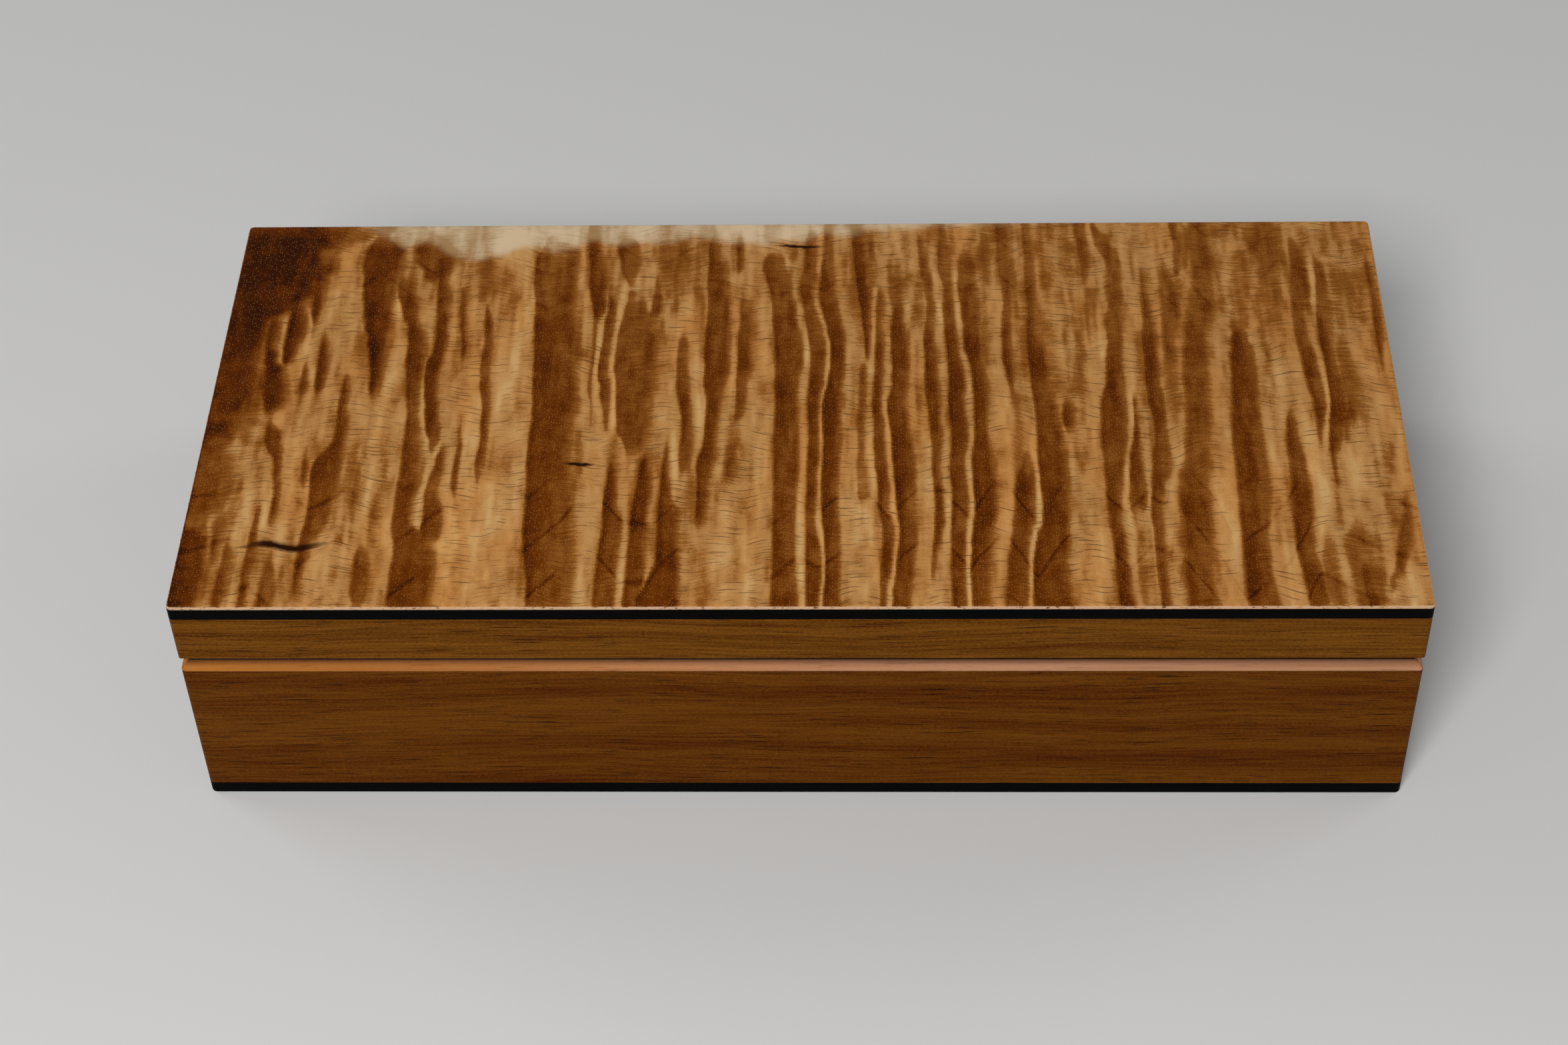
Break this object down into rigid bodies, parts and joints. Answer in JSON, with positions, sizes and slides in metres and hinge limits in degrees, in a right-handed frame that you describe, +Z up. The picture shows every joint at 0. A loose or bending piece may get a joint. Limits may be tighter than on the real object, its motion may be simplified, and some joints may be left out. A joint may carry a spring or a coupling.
{
  "type": "keepsake box",
  "caption": "Rectangular keepsake box in straight-grained wood: hinged lid with a figured veneer on a black core, a V-groove where the lid meets the base, and a black bottom plate.",
  "frame": {"origin": "centre of the underside of the bottom plate", "axes": "+X to the right along the long side, +Y from the front to the hinged back, +Z up through the lid"},
  "size_m": [0.28, 0.13, 0.0652],
  "materials": {
    "figured_veneer": "satin lacquer over curly figure",
    "rail_wood": "satin lacquer, straight grain",
    "wall_wood": "satin lacquer, straight grain",
    "backing_wood": "satin lacquer, straight grain",
    "spline_wood": "bare",
    "black_board": "satin black",
    "brass": "fine brushed",
    "suede": "short soft nap"
  },
  "bodies": {
    "base": {"bottom_plate": "black_board", "floor_pad": "suede", "base_front_wall": "wall_wood", "base_back_wall": "wall_wood", "base_left_wall": "wall_wood", "base_right_wall": "wall_wood", "base_front_left_spline": "spline_wood", "base_front_right_spline": "spline_wood", "base_back_left_spline": "spline_wood", "base_back_right_spline": "spline_wood", "left_hinge_base_leaf": "brass", "right_hinge_base_leaf": "brass", "left_hinge_base_screw_1": "brass", "left_hinge_base_screw_2": "brass", "left_hinge_base_screw_3": "brass", "right_hinge_base_screw_1": "brass", "right_hinge_base_screw_2": "brass", "right_hinge_base_screw_3": "brass", "left_hinge_pin": "brass", "right_hinge_pin": "brass"},
    "lid": {"top_veneer": "figured_veneer", "lid_core": "black_board", "backing_veneer": "backing_wood", "lid_front_rail": "rail_wood", "lid_back_rail": "rail_wood", "lid_left_rail": "rail_wood", "lid_right_rail": "rail_wood", "lid_front_left_spline": "spline_wood", "lid_front_right_spline": "spline_wood", "lid_back_left_spline": "spline_wood", "lid_back_right_spline": "spline_wood", "left_hinge_lid_leaf": "brass", "right_hinge_lid_leaf": "brass", "left_hinge_lid_screw_1": "brass", "left_hinge_lid_screw_2": "brass", "left_hinge_lid_screw_3": "brass", "right_hinge_lid_screw_1": "brass", "right_hinge_lid_screw_2": "brass", "right_hinge_lid_screw_3": "brass"}
  },
  "joints": [
    {"name": "lid_hinge", "type": "hinge", "parent": "base", "child": "lid", "pos_m": [0, 0.06302, 0.046], "axis": [-1, 0, 0], "range_deg": [0, 95]}
  ]
}
